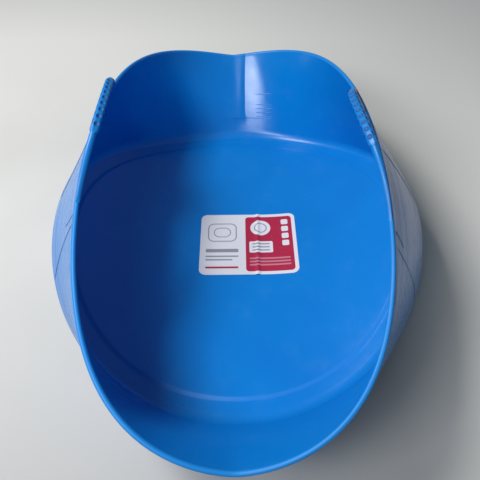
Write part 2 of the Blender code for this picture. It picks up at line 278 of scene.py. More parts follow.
def finished_piece(name, bm, place, material):
    """Object made from a flat bmesh, formed by place(x, y, height), with smooth shading."""
    bmesh.ops.remove_doubles(bm, verts=bm.verts, dist=MERGE)
    bmesh.ops.recalc_face_normals(bm, faces=bm.faces)
    mesh = bpy.data.meshes.new(name)
    bm.to_mesh(mesh)
    bm.free()
    flat = np.zeros(len(mesh.vertices) * 3)
    mesh.vertices.foreach_get("co", flat)
    flat = flat.reshape(-1, 3)
    keep_flat_place(mesh, flat)
    mesh.vertices.foreach_set("co", place(flat[:, 0], flat[:, 1], flat[:, 2]).ravel())
    mesh.shade_smooth()
    mesh.set_sharp_from_angle(angle=SHARP_ANGLE)
    mesh.materials.append(material)
    thing = bpy.data.objects.new(name, mesh)
    bpy.context.scene.collection.objects.link(thing)
    print(name, "has", len(mesh.polygons), "faces")
    return thing


# %% [markdown]
# ## Materials
# A material could be painted by hand or taken from an image, but a node graph follows the
# piece itself, at any distance and from any side. A few short helpers build the nodes. A value
# named NOISE holds scale, detail and roughness, and a RANGE says between which two values a
# mask fades, and between which two amounts.

# %% Helpers that add nodes
def new_material(name):
    """A node material, its tree and its Principled shader."""
    material = bpy.data.materials.new(name)
    material.use_nodes = True
    return material, material.node_tree, material.node_tree.nodes["Principled BSDF"]


def add_node(tree, kind, values=None, **settings):
    """One node with its settings. A value is set on the socket of that name, or linked to it."""
    node = tree.nodes.new(kind)
    for key, setting in settings.items():
        setattr(node, key, setting)
    for key, value in (values or {}).items():
        if isinstance(value, bpy.types.NodeSocket):
            tree.links.new(value, node.inputs[key])
        else:
            node.inputs[key].default_value = value
    return node


def calculate(tree, operation, first, second=0.0):
    """Socket with the result of one Math node."""
    node = add_node(tree, "ShaderNodeMath", {0: first, 1: second}, operation=operation)
    return node.outputs[0]


def calculate_vector(tree, operation, first, second=(0.0, 0.0, 0.0), output=0):
    """Socket with the result of one Vector Math node."""
    node = add_node(tree, "ShaderNodeVectorMath", {0: first, 1: second}, operation=operation)
    return node.outputs[output]


# %% Helpers that mix, scatter and stretch values
def mix_colours(tree, factor, first, second):
    """Socket with a mix of two colours."""
    values = {0: factor, 6: first, 7: second}
    return add_node(tree, "ShaderNodeMix", values, data_type="RGBA").outputs[2]


def noise(tree, vector, scale, detail=2.0, roughness=0.5):
    """Socket with a noise value of about 0.5, at the given scale per metre."""
    values = {"Vector": vector, "Scale": scale, "Detail": detail, "Roughness": roughness}
    return add_node(tree, "ShaderNodeTexNoise", values).outputs["Fac"]


def stretch(tree, value, low, high, to_low=0.0, to_high=1.0):
    """Socket with a value's range from low to high mapped to a new range, held at its ends."""
    values = {"Value": value, "From Min": low, "From Max": high, "To Min": to_low, "To Max": to_high}
    return add_node(tree, "ShaderNodeMapRange", values).outputs["Result"]


# %% [markdown]
# ## Blue plastic
# Low-density polyethylene has a satin skin that copies the mould. The mould was turned on a
# lathe, so fine rings run round the floor and round the outside of the wall. Handling adds
# faint scuffs and a little dust that dulls the gloss in patches. The bead and the floor panel's
# edge are painted lighter as a painted highlight, darker streaks run round the outside of the
# wall, and the grips' hollows are painted darker as painted shade. One flat colour with one
# roughness would look like paint, so the places of all these marks are worked out first, from
# the piece's own flat_place and from Object coordinates. Colour, gloss and relief are then built in
# layers on the same places.

# %% Colours of the plastic
PLASTIC_BLUE = (0.0025, 0.216, 0.645, 1.0)
PLASTIC_DEEP = (0.0020, 0.197, 0.610, 1.0)
LINE_BLUE = (0.006, 0.050, 0.190, 1.0)
LINE_DEEP = (0.004, 0.035, 0.150, 1.0)
# Painted highlight: a lighter blue on the rim's bead.
BEAD_PAINTED_HIGHLIGHT = (0.004, 0.235, 0.690, 1.0)
# Painted highlight: a paler blue along the edge of the floor panel.
SHOULDER_PAINTED_HIGHLIGHT = (0.012, 0.300, 0.780, 1.0)
DUST = (0.300, 0.380, 0.520, 1.0)
print("the plastic's blue", PLASTIC_BLUE[:3])

# %% Where the plastic is dusty and streaked, and where highlights and shade are painted
OUTSIDE_RANGE = (-0.0022, -0.0028)
BEAD_RANGE = (RIM_REACH - 0.0035, RIM_REACH - 0.0015)
SHOULDER_MIDDLE = PANEL_RADIUS + SHOULDER / 2.0
DUST_NOISE = (34.0, 5.0, 0.62)
DUST_RANGE = (0.55, 0.80, 0.0, 0.04)
STREAK_NOISE = (130.0, 2.0, 0.7)
STREAK_RANGE = (0.50, 0.72)
STREAK_DIRT = (0.40, 0.25)
# Painted shade: how far the grips' hollows are darkened, and how far they are dulled.
HOLLOW_PAINTED_SHADE = (0.60, 0.25)


def distance_from(tree, reach, middle):
    """Socket with the distance of a reach from a ring on the disc."""
    return calculate(tree, "ABSOLUTE", calculate(tree, "SUBTRACT", reach, middle))


def plastic_places(tree, ring_share, painted_hollow_shade):
    """Sockets by name for the layers. Each streak or painted shade is a mask, how far it darkens and
    how far it dulls.
    """
    spot = add_node(tree, "ShaderNodeTexCoord").outputs["Object"]
    flat = add_node(tree, "ShaderNodeAttribute", attribute_name="flat_place").outputs["Vector"]
    height = add_node(tree, "ShaderNodeSeparateXYZ", {"Vector": flat}).outputs["Z"]
    level = calculate_vector(tree, "MULTIPLY", flat, (1.0, 1.0, 0.0))
    reach = calculate_vector(tree, "LENGTH", level, output=1)
    ring_line = add_node(tree, "ShaderNodeCombineXYZ", {"X": reach}).outputs[0]
    outside = stretch(tree, height, *OUTSIDE_RANGE)
    dusty = noise(tree, spot, *DUST_NOISE)
    streaks = stretch(tree, noise(tree, ring_line, *STREAK_NOISE), *STREAK_RANGE, 0.0, ring_share)
    streaks_and_painted_shade = [(calculate(tree, "MULTIPLY", streaks, outside), *STREAK_DIRT)]
    # Painted shade in the grips' hollows.
    if painted_hollow_shade:
        hollow = add_node(tree, "ShaderNodeAttribute", attribute_name="hollow").outputs["Fac"]
        streaks_and_painted_shade.append((hollow, *HOLLOW_PAINTED_SHADE))
    return {"spot": spot, "reach": reach, "ring_line": ring_line, "outside": outside, "streaks_and_painted_shade": streaks_and_painted_shade,
            "bead": stretch(tree, reach, *BEAD_RANGE),
            "from_shoulder": distance_from(tree, reach, SHOULDER_MIDDLE),
            "from_corner": distance_from(tree, reach, BASE_RADIUS),
            "dust": stretch(tree, dusty, *DUST_RANGE)}


# %% Layers of colour
CLOUD_NOISE = (9.0, 3.0)
CLOUD_RANGE = (0.35, 0.65)
SHOULDER_PALE_RANGE = (0.0005, 0.0020, 0.50, 0.0)


def plastic_colour(tree, places, blue, deep):
    """Socket with the colour: clouds of two blues, with dust, a painted highlight on the bead and the
    panel's edge, darker streaks and painted shade in the hollows over them.
    """
    cloud = noise(tree, places["spot"], *CLOUD_NOISE)
    colour = mix_colours(tree, stretch(tree, cloud, *CLOUD_RANGE), deep, blue)
    colour = mix_colours(tree, places["dust"], colour, DUST)
    # Painted highlight on the rim's bead.
    colour = mix_colours(tree, places["bead"], colour, BEAD_PAINTED_HIGHLIGHT)
    # Painted highlight: the panel's edge is painted paler, which also hides its shade.
    painted_shoulder_highlight = stretch(tree, places["from_shoulder"], *SHOULDER_PALE_RANGE)
    colour = mix_colours(tree, painted_shoulder_highlight, colour, SHOULDER_PAINTED_HIGHLIGHT)
    # Darker streaks, and painted shade in the grips' hollows.
    for mask, darker, _ in places["streaks_and_painted_shade"]:
        colour = mix_colours(tree, calculate(tree, "MULTIPLY", mask, darker), colour, LINE_BLUE)
    return colour


# %% Layers of gloss
SMEAR_NOISE = (60.0, 4.0)
SMEAR_RANGE = (0.30, 0.70)
SMEAR_MATT = 0.05
BEAD_MATT = 0.30
CORNER_MATT_RANGE = (0.005, 0.012, 0.11, 0.0)
SHOULDER_MATT_RANGE = (0.0015, 0.0030, 0.26, 0.0)
DUST_MATT = 1.2


def plastic_roughness(tree, places, matt):
    """Socket with the roughness: smeared, and duller on the bead, the corner and the panel's edge,
    where dusty, along the streaks and in the hollows.
    """
    duller = calculate(tree, "MULTIPLY", places["bead"], BEAD_MATT)
    corner = stretch(tree, places["from_corner"], *CORNER_MATT_RANGE)
    duller = calculate(tree, "ADD", duller, corner)
    shoulder = stretch(tree, places["from_shoulder"], *SHOULDER_MATT_RANGE)
    duller = calculate(tree, "ADD", duller, shoulder)
    smear = noise(tree, places["spot"], *SMEAR_NOISE)
    roughness = stretch(tree, smear, *SMEAR_RANGE, matt, matt + SMEAR_MATT)
    roughness = calculate(tree, "ADD", roughness, duller)
    dusty = calculate(tree, "MULTIPLY", places["dust"], DUST_MATT)
    roughness = calculate(tree, "ADD", roughness, dusty)
    for mask, _, dulls in places["streaks_and_painted_shade"]:
        roughness = calculate(tree, "ADD", roughness, calculate(tree, "MULTIPLY", mask, dulls))
    return roughness


# %% Layers of fine relief
RING_NOISE = (420.0, 4.0, 0.7)
RING_PITCH = 0.0031
WAVE_HEIGHT = 0.45
GRAIN_NOISE = (1500.0, 2.0)
GRAIN_HEIGHT = 0.22
SCUFF_STRETCH = (30.0, 240.0, 90.0)
SCUFF_NOISE = (1.0, 5.0, 0.7)
SCUFF_RANGE = (0.62, 0.74, 0.0, 0.35)
RELIEF_HEIGHT = 0.00006


def plastic_relief(tree, places, ring_share):
    """Socket with the bent normal: turned rings, a fine grain and scuffs."""
    turns = calculate(tree, "MULTIPLY", places["reach"], 2.0 * math.pi / RING_PITCH)
    wave_height = calculate(tree, "MULTIPLY", places["outside"], WAVE_HEIGHT)
    wave = calculate(tree, "MULTIPLY", calculate(tree, "SINE", turns), wave_height)
    rings = calculate(tree, "ADD", noise(tree, places["ring_line"], *RING_NOISE), wave)
    rings = calculate(tree, "MULTIPLY", rings, ring_share)
    grain = calculate(tree, "MULTIPLY", noise(tree, places["spot"], *GRAIN_NOISE), GRAIN_HEIGHT)
    scuffed = add_node(tree, "ShaderNodeMapping", {"Vector": places["spot"], "Scale": SCUFF_STRETCH})
    scuff = stretch(tree, noise(tree, scuffed.outputs[0], *SCUFF_NOISE), *SCUFF_RANGE)
    height = calculate(tree, "ADD", calculate(tree, "ADD", rings, grain), scuff)
    values = {"Height": height, "Distance": RELIEF_HEIGHT, "Strength": 1.0}
    return add_node(tree, "ShaderNodeBump", values).outputs[0]


# %% The three finishes of the plastic
PLASTIC_IOR = 1.51
TUB_MATT = 0.165
HANDLE_MATT = 0.34
LINE_MATT = 0.45


def blue_plastic(name, ring_share, matt, blue, deep, painted_hollow_shade=False):
    """Satin plastic. ring_share is 1 where the mould's rings and streaks show and 0 elsewhere."""
    material, tree, shader = new_material(name)
    places = plastic_places(tree, ring_share, painted_hollow_shade)
    tree.links.new(plastic_colour(tree, places, blue, deep), shader.inputs["Base Color"])
    tree.links.new(plastic_roughness(tree, places, matt), shader.inputs["Roughness"])
    tree.links.new(plastic_relief(tree, places, ring_share), shader.inputs["Normal"])
    shader.inputs["IOR"].default_value = PLASTIC_IOR
    return material


tub_plastic = blue_plastic("tub_plastic_finish", 1.0, TUB_MATT, PLASTIC_BLUE, PLASTIC_DEEP)
handle_plastic = blue_plastic("handle_plastic_finish", 0.0, HANDLE_MATT, PLASTIC_BLUE, PLASTIC_DEEP,
                              painted_hollow_shade=True)
line_plastic = blue_plastic("segment_line_finish", 0.0, LINE_MATT, LINE_BLUE, LINE_DEEP)
for finish in (tub_plastic, handle_plastic, line_plastic):
    print(finish.name, "has", len(finish.node_tree.nodes), "nodes")

# %% [markdown]
# ## The shell
# Floor, wall and rim are one skin. The bead on the rim stiffens it where hands and animals
# pull at it, and the small gate mark under the floor is where the plastic came in. A disc
# could be extruded and given a wall by Solidify, but the bead, the foot ring and the raised
# panel differ above and below. So the whole section is drawn once, from the middle over the
# inside to the rim and back underneath, and spun round the middle into a closed disc.

# %% Inner side of the section
PANEL_POINTS = 26
SHOULDER_POINTS = 11
CHANNEL_POINTS = 5
CORNER_POINTS = 15
WALL_POINTS = 26


def eased(share):
    """A share from 0 to 1 that starts and ends gently."""
    return share * share * (3.0 - 2.0 * share)


def inner_section():
    """Radius and height along the floor panel, and then from its shoulder up the wall."""
    panel = [(r, PANEL_RAISE) for r in np.linspace(0.0, PANEL_RADIUS, PANEL_POINTS)]
    shares = np.linspace(0.0, 1.0, SHOULDER_POINTS)[1:]
    panel += [(PANEL_RADIUS + SHOULDER * s, PANEL_RAISE * (1.0 - eased(s))) for s in shares]
    channel = np.linspace(PANEL_RADIUS + SHOULDER, BASE_RADIUS - CORNER, CHANNEL_POINTS)[1:-1]
    corner = np.linspace(BASE_RADIUS - CORNER, BASE_RADIUS + CORNER, CORNER_POINTS)
    wall = np.linspace(BASE_RADIUS + CORNER, RIM_REACH - BEAD_HEIGHT, WALL_POINTS)[1:]
    return panel, [(r, 0.0) for r in np.concatenate([channel, corner, wall])]


print("points along the panel", len(inner_section()[0]))

# %% The whole section
BEAD_POINTS = 15
NECK_UP, NECK_OUT = 0.0014, 0.0004
UNDER_PANEL_POINTS = 24
UNDER_PANEL_EDGE = 0.003
UNDER_PANEL_END = 0.02
GATE_RADIUS = 0.006
GATE_TOP = 0.8
GATE_HEIGHT = 0.0004


def shell_section():
    """Radius and height of the section's points."""
    panel, inner = inner_section()
    half = BEAD_WIDTH / 2.0
    turns = np.linspace(math.pi / 2.0, -math.pi / 2.0, BEAD_POINTS)
    bead = [(RIM_REACH - half + half * math.cos(a), half * math.sin(a) - half) for a in turns]
    neck = [(RIM_REACH - BEAD_HEIGHT + NECK_UP, -BEAD_WIDTH + NECK_OUT)]
    under = [(r, -WALL) for r, _ in reversed(inner)]
    under = [(r, h - (FOOT_DEPTH if r < BASE_RADIUS - CORNER / 2.0 else 0.0)) for r, h in under]
    foot = [(PANEL_RADIUS + SHOULDER, -WALL - FOOT_DEPTH), (PANEL_RADIUS, -WALL - FOOT_DEPTH)]
    beneath = PANEL_RAISE - WALL
    steps = np.linspace(PANEL_RADIUS, UNDER_PANEL_END, UNDER_PANEL_POINTS)
    under_panel = [(r - UNDER_PANEL_EDGE, beneath) for r in steps]
    gate_tip = beneath - GATE_HEIGHT
    gate = [(GATE_RADIUS, beneath), (GATE_TOP * GATE_RADIUS, gate_tip), (0.0, gate_tip)]
    return panel + inner + bead + neck + under + foot + under_panel + gate


print("points in the section", len(shell_section()))

# %% [markdown]
# ## The fold in the far wall
# Where the far wall is squeezed most, it has taken a soft fold beside its capacity scale. The
# wall stands up a little towards the left of the fold and is flat to the right of it, so a
# tall patch of gloss stops there at a straight edge. A dent could be sculpted, but it would
# be soft on both sides. Here one column of the spun skin is moved onto the fold, and its edges
# are marked sharp so that the shading breaks along it.

# %% Shape of the fold
FOLD_TURN = 87.0
FOLD_LEAN = -15.0
FOLD_FOOT = 0.273
FOLD_SLOPE = 0.22
FOLD_WIDTH = 0.016
FOLD_SPREAD = 30.0
FOLD_GATHER = 0.02
FOLD_BELOW_FOOT = 0.01
FOLD_RUN_IN = 0.015


def fold_turn(reach):
    """Angle of the fold in degrees at a reach on the disc."""
    return FOLD_TURN + FOLD_LEAN * (reach - FOLD_FOOT)


def press_fold(vertex):
    """Move the columns near the fold onto its line, and raise the wall to the left of it."""
    reach = math.hypot(vertex.co.x, vertex.co.y)
    if reach < BASE_RADIUS:
        return
    turn = math.degrees(math.atan2(vertex.co.y, vertex.co.x))
    near = max(0.0, 1.0 - abs(turn - FOLD_TURN) / FOLD_SPREAD)
    gathered = eased(min(1.0, (reach - BASE_RADIUS) / FOLD_GATHER))
    turn += (fold_turn(reach) - FOLD_TURN) * near * gathered
    beside = max(0.0, math.radians(turn - fold_turn(reach)) * reach)
    rising = eased(min(1.0, max(0.0, (reach - FOLD_FOOT + FOLD_BELOW_FOOT) / FOLD_RUN_IN)))
    vertex.co.x = reach * math.cos(math.radians(turn))
    vertex.co.y = reach * math.sin(math.radians(turn))
    vertex.co.z += FOLD_SLOPE * beside * rising * math.exp(-beside / FOLD_WIDTH)


print("height of the fold", round(FOLD_SLOPE * FOLD_WIDTH / math.e, 4))

# %% Spin and form the shell
SHELL_STEPS = 360
FOLD_HIT = 0.02
INNER_SIDE = -0.002


def shell_mesh():
    """The section spun round the middle into a closed disc, with the fold pressed in."""
    bm = bmesh.new()
    points = [bm.verts.new((r, 0.0, h)) for r, h in shell_section()]
    edges = [bm.edges.new(pair) for pair in zip(points, points[1:])]
    bmesh.ops.spin(bm, geom=points + edges, cent=(0.0, 0.0, 0.0), axis=(0.0, 0.0, 1.0),
                   angle=2.0 * math.pi, steps=SHELL_STEPS, use_merge=True)
    for vertex in bm.verts:
        press_fold(vertex)
    return bm


def keep_fold_sharp(mesh):
    """Mark the edges along the fold on the inside as sharp, so that the gloss breaks there."""
    flat = mesh.attributes["flat_place"].data
    count = 0
    for edge in mesh.edges:
        ends = [flat[i].vector for i in edge.vertices]
        reaches = [math.hypot(end.x, end.y) for end in ends]
        turns = [math.degrees(math.atan2(end.y, end.x)) for end in ends]
        beside = max(abs(turn - fold_turn(reach)) for turn, reach in zip(turns, reaches))
        inner = min(end.z for end in ends) > INNER_SIDE
        if inner and beside < FOLD_HIT and min(reaches) > FOLD_FOOT:
            edge.use_edge_sharp = True
            count += 1
    print("sharp edges along the fold", count)


shell = finished_piece("shell", shell_mesh(), form, tub_plastic)
keep_fold_sharp(shell.data)
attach(shell, "tub")
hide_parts("tub_shell")

# %% [markdown]
# ## Lines of the mould
# The outer mould was made in segments, and each joint between two of them left a thin line up
# the outside of the wall, drawn here in a darker blue. One runs up below the middle of each
# handle, and others lie towards the front. A capacity scale, here only plain bars and one level
# line, stands a little proud on the inside of the far wall. A bump in the material could draw
# them, but the mesh would then be bare. All of them are thin ridges with a half-round section,
# laid on the flat disc and formed with the same function.

# %% One ridge on the wall
LINE_WIDTH = 0.0011
LINE_HEIGHT = 0.00045
LINE_SUNK = 0.0001
LINE_STEPS = 48
LINE_SIDES = 6
LINE_TAPER = 12.0
LEVEL_LINE = 0.01


def add_ridge(bm, start, end, bow, height, side):
    """A half-round ridge between two places, each an angle in degrees and a reach on the disc.

    bow bends its middle sideways, in degrees. side is 1 on the inside of the wall and -1 on the
    outside, and the ridge's border is sunk a little into the wall.
    """
    made = bmesh.ops.create_grid(bm, x_segments=LINE_STEPS, y_segments=LINE_SIDES, size=0.5)
    for vertex in made["verts"]:
        share = vertex.co.x + 0.5
        across = vertex.co.y * 2.0
        turn = start[0] + (end[0] - start[0]) * share + bow * 4.0 * share * (1.0 - share)
        angle = math.radians(turn)
        reach = start[1] + (end[1] - start[1]) * share
        if abs(end[1] - start[1]) > LEVEL_LINE:
            angle += across * LINE_WIDTH / 2.0 / reach
        else:
            reach += across * LINE_WIDTH / 2.0
        taper = min(1.0, LINE_TAPER * min(share, 1.0 - share))
        above = LINE_HEIGHT * math.sqrt(max(1.0 - across * across, 0.0)) * taper - LINE_SUNK
        vertex.co = (reach * math.cos(angle), reach * math.sin(angle), height + side * above)


print("height of a ridge above the wall", round(LINE_HEIGHT - LINE_SUNK, 5))

# %% Segment lines and scale bars
def ridges(name, lines, height, side, material):
    """One object of several ridges. Those on the inside follow the fold."""
    bm = bmesh.new()
    for start, end, bow in lines:
        add_ridge(bm, start, end, bow, height, side)
    if side > 0.0:
        for vertex in bm.verts:
            press_fold(vertex)
    return finished_piece(name, bm, form, material)


SEGMENT_LINES = [((207.2, 0.2510), (204.9, 0.3640), -3.4), ((-31.6, 0.2545), (-31.1, 0.3640), -1.4),
                 ((198.8, 0.3100), (201.0, 0.3515), 0.0), ((-29.2, 0.3440), (-27.0, 0.3640), 0.0),
                 ((181.0, 0.2540), (177.0, 0.3600), -1.5), ((-0.2, 0.2530), (-1.5, 0.3600), -0.3)]
SCALE_LINES = [((75.8, reach), (82.8, reach), 0.0) for reach in (0.276, 0.282, 0.288, 0.294, 0.309)]
SCALE_LINES += [((76.0, 0.273), (93.0, 0.273), 0.0)]

segment_lines = ridges("segment_lines", SEGMENT_LINES, -WALL, -1.0, line_plastic)
scale_bars = ridges("scale_bars", SCALE_LINES, 0.0, 1.0, tub_plastic)
for lines in (segment_lines, scale_bars):
    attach(lines, "tub")

# %% [markdown]
# ## The handles
# Each handle grows out of the rim: the rim's bead sweeps up, runs along a thick grip, and
# comes down again, with a slot for four fingers below it. The grip has rows of small round
# hollows that make it less slippery with wet hands. A bevelled curve could run along the arch,
# but with one section all the way. So the arch is a loft: its section changes from the slim
# leg with its bead to the thick grip, and a rolled-up grid carries it.

# %% Where a handle stands
HANDLE_RISE = 0.0465
HANDLE_REACH = 0.112
HANDLE_SWEEP = 2.5
HANDLE_LANDING = 1.3
LEFT_HANDLE = (-0.0169, 3.4, 0.8)
RIGHT_HANDLE = (-0.0079, 0.8, -4.7)
RIM_STEP = 0.01


def handle_place(side, measures):
    """Angle of a handle's middle on the disc, and its stand and turn in radians."""
    along, stand, turn = measures
    return side + along / MOUTH_RADIUS, math.radians(stand), math.radians(turn)


def on_wall(handle, length, rise, outward):
    """Points beside a handle: along the rim, up from it, and out from the wall's inner side."""
    middle, stand, turn = handle
    angle = middle + length / MOUTH_RADIUS
    ux, uy = np.cos(angle), np.sin(angle)
    reach = RIM_REACH + np.minimum(rise, 0.0)
    below = form(reach * ux, reach * uy, -outward)
    outward = outward + length * math.tan(turn) * np.clip(rise / HANDLE_RISE, 0.0, 1.0)
    none = np.zeros_like(ux)
    edge = form(RIM_REACH * ux, RIM_REACH * uy, none)
    out = unit(form(RIM_REACH * ux, RIM_REACH * uy, none - RIM_STEP) - edge)
    up = unit(form((RIM_REACH + RIM_STEP) * ux, (RIM_REACH + RIM_STEP) * uy, none) - edge)
    straight_up = up * math.cos(stand) + out * math.sin(stand)
    straight_out = out * math.cos(stand) - up * math.sin(stand)
    above = edge + straight_up * rise[..., None] + straight_out * outward[..., None]
    return np.where((rise <= 0.0)[..., None], below, above)


left_place = handle_place(math.pi, LEFT_HANDLE)
right_place = handle_place(0.0, RIGHT_HANDLE)
for place in (left_place, right_place):
    print("a handle's middle is at", round(math.degrees(place[0]), 1), "degrees")

# %% Edges of the arch
SLOT_HALF = 0.056
SLOT_FLOOR = 0.003
SLOT_HEIGHT = 0.028
SLOT_SQUARENESS = 4


def outer_edge(length):
    """Height of the handle's top edge above the rim."""
    share = np.clip(np.abs(length) / HANDLE_REACH, 0.0, 1.0)
    return HANDLE_RISE * (1.0 - share ** HANDLE_SWEEP) ** HANDLE_LANDING


def arch_edges(turn):
    """Outer and inner edge at one turn, from minus to plus a quarter turn between the feet."""
    reach = HANDLE_REACH * math.sin(turn)
    far = 1.0 - (1.0 - abs(math.sin(turn))) ** 2
    rise = max(1.0 - far ** SLOT_SQUARENESS, 0.0) ** (1.0 / SLOT_SQUARENESS)
    slot = SLOT_FLOOR + SLOT_HEIGHT * rise
    return (reach, float(outer_edge(reach))), (math.copysign(SLOT_HALF * far, turn), slot)


print("the arch's top and the slot's top", [round(edge[1], 4) for edge in arch_edges(0.0)])

# %% Section of the leg
LEG_BEAD = 0.0075
LEG_NECK = 1.6
LEG_FADE = 1.5
LEG_FADE_POINTS = 12
LEG_ARC_POINTS = 24
LOOP_POINTS = 72


def arc(centre, radius, start, end, count=12):
    """Points on an arc from a start to an end angle in degrees."""
    turns = np.radians(np.linspace(start, end, count))
    return [(centre[0] + radius * math.cos(a), centre[1] + radius * math.sin(a)) for a in turns]


def even_points(points, count):
    """The same line with points at even steps along it."""
    points = np.array(points)
    length = np.concatenate([[0.0], np.cumsum(np.linalg.norm(np.diff(points, axis=0), axis=1))])
    steps = np.linspace(0.0, length[-1], count)
    return np.stack([np.interp(steps, length, points[:, i]) for i in range(2)], axis=1)


def leg_loop(bead):
    """Round bead on the leg's edge, in depth below the edge and distance outward."""
    half = bead / 2.0
    loop = [(LEG_NECK * half, 0.0)] + arc((half, half), half, 270.0, 90.0, LEG_ARC_POINTS)
    for share in np.linspace(0.0, 1.0, LEG_FADE_POINTS)[1:]:
        depth = half + (LEG_FADE * bead - WALL) * share
        loop.append((depth, bead - (bead - WALL) * eased(share)))
    return even_points(loop, LOOP_POINTS)


# %% Section of the grip
GRIP_LENGTH = 0.098
GRIP_DEEP = 0.0145
GRIP_THICK = 0.0094
GRIP_OUTWARD = 0.0034
GRIP_PROUD = 0.0008
GRIP_ROUND = 0.0032


def grip_loop():
    """Thick grip with round corners, in depth below the edge and distance outward."""
    r = GRIP_ROUND
    top, bottom = -GRIP_PROUD + r, GRIP_DEEP - GRIP_PROUD - r
    near, far = GRIP_OUTWARD - GRIP_THICK / 2.0 + r, GRIP_OUTWARD + GRIP_THICK / 2.0 - r
    start = math.degrees(math.asin(-near / r))
    end = math.degrees(math.asin((WALL - far) / r))
    loop = arc((bottom, near), r, start, -90.0) + arc((top, near), r, 270.0, 180.0)
    loop += arc((top, far), r, 180.0, 90.0) + arc((bottom, far), r, 90.0, end)
    return even_points(loop, LOOP_POINTS)


GRIP_LOOP = grip_loop()
print("depth of the grip", round(float(np.ptp(GRIP_LOOP[:, 0])), 4))

# %% Section of the arch at one turn
GRIP_END = 0.0022
WEB_POINTS = 6
TIP_POINTS = 9


def arch_section(turn):
    """One closed ring of the arch, in length along the rim, rise and distance outward."""
    outer, inner = arch_edges(turn)
    width = math.hypot(outer[0] - inner[0], outer[1] - inner[1])
    bead = BEAD_WIDTH + (LEG_BEAD - BEAD_WIDTH) * outer[1] / HANDLE_RISE
    share = np.clip((GRIP_LENGTH / 2.0 + GRIP_END - abs(outer[0])) / (2.0 * GRIP_END), 0.0, 1.0)
    loop = leg_loop(bead) * (1.0 - eased(share)) + GRIP_LOOP * eased(share)
    half = WALL / 2.0
    tip = arc((width - half, half), half, 90.0, -90.0, TIP_POINTS)
    outer_web = np.linspace(loop[-1], tip[0], WEB_POINTS)[1:-1]
    inner_web = np.linspace(tip[-1], loop[0], WEB_POINTS)[1:-1]
    ring = np.concatenate([loop, outer_web, np.array(tip), inner_web])
    along = ring[:, 0] / width
    length = outer[0] + (inner[0] - outer[0]) * along
    rise = outer[1] + (inner[1] - outer[1]) * along
    return np.stack([length, rise, ring[:, 1]], axis=1)


print("points round the arch", len(arch_section(0.0)))

# %% Hollows of the grip
DIMPLE_PITCH = 0.0102
DIMPLE_BALL = 0.0038
DIMPLE_DEPTH = 0.0013
TOP_DIMPLES = 9
SIDE_DIMPLES = 8
SIDE_DIMPLES_DOWN = 0.003


def dimple_centres():
    """Centres of the balls that press the hollows: a top row and two staggered side rows."""
    sunk = DIMPLE_BALL - DIMPLE_DEPTH
    side = GRIP_THICK / 2.0 + sunk
    down = GRIP_PROUD - SIDE_DIMPLES_DOWN
    rows = [(TOP_DIMPLES, GRIP_PROUD + sunk, GRIP_OUTWARD),
            (SIDE_DIMPLES, down, GRIP_OUTWARD - side),
            (SIDE_DIMPLES, down, GRIP_OUTWARD + side)]
    centres = []
    for count, above, outward in rows:
        for i in range(count):
            place = (i - (count - 1) / 2.0) * DIMPLE_PITCH
            centres.append((place, float(outer_edge(place)) + above, outward))
    return np.array(centres)


def press_dimples(points):
    """Push the points that lie inside a ball out to its surface."""
    for centre in dimple_centres():
        offset = points - centre
        far = np.linalg.norm(offset, axis=-1, keepdims=True)
        pushed = centre + offset / np.maximum(far, TINY) * DIMPLE_BALL
        points = np.where(far < DIMPLE_BALL, pushed, points)
    return points


print("hollows on each grip", len(dimple_centres()))

# %% Roll a grid into an arch
LEG_STATIONS = 56
GRIP_STATIONS = 190
FOOT_SUNK = 0.0045


def rolled_grid(rings):
    """A grid whose long way follows the rings and whose short way closes on itself."""
    stations, around = rings.shape[0], rings.shape[1]
    bm = bmesh.new()
    bmesh.ops.create_grid(bm, x_segments=stations - 1, y_segments=around, size=0.5)
    for vertex in bm.verts:
        station = round((vertex.co.x + 0.5) * (stations - 1))
        place = round((vertex.co.y + 0.5) * around) % around
        vertex.co = rings[station, place]
    return bm


def arch_rings():
    """All rings of the arch, closed by a pole at each foot, with the hollows pressed in."""
    edge = math.asin((GRIP_LENGTH / 2.0 + 2.0 * GRIP_END) / HANDLE_REACH)
    legs = np.linspace(edge, math.pi / 2.0, LEG_STATIONS)
    turns = np.concatenate([-legs[::-1], np.linspace(-edge, edge, GRIP_STATIONS)[1:-1], legs])
    rings = press_dimples(np.array([arch_section(turn) for turn in turns]))
    sunk = np.array([0.0, FOOT_SUNK, 0.0])
    first, last = rings[0] - sunk, rings[-1] - sunk
    poles = [np.broadcast_to(ring.mean(axis=0), ring.shape) for ring in (first, last)]
    return np.concatenate([[poles[0], first], rings, [last, poles[1]]])


print("rings of an arch", len(arch_rings()))

# %% The two arches
HOLLOW_EDGE = 0.0005


def keep_hollows(mesh):
    """Store where the hollows are, for the painted shade in them."""
    flat = np.zeros(len(mesh.vertices) * 3, dtype=np.float32)
    mesh.attributes["flat_place"].data.foreach_get("vector", flat)
    far = np.linalg.norm(flat.reshape(-1, 1, 3) - dimple_centres(), axis=-1).min(axis=1)
    inside = np.clip((DIMPLE_BALL + HOLLOW_EDGE - far) / HOLLOW_EDGE, 0.0, 1.0)
    attribute = mesh.attributes.new("hollow", "FLOAT", "POINT")
    attribute.data.foreach_set("value", inside.astype(np.float32))


def handle_arch(name, place):
    """One handle, stood on the rim at its place."""
    def stand(length, rise, outward):
        return on_wall(place, length, rise, outward)

    arch = finished_piece(name, rolled_grid(arch_rings()), stand, handle_plastic)
    keep_hollows(arch.data)
    return arch


left_arch = handle_arch("left_arch", left_place)
right_arch = handle_arch("right_arch", right_place)

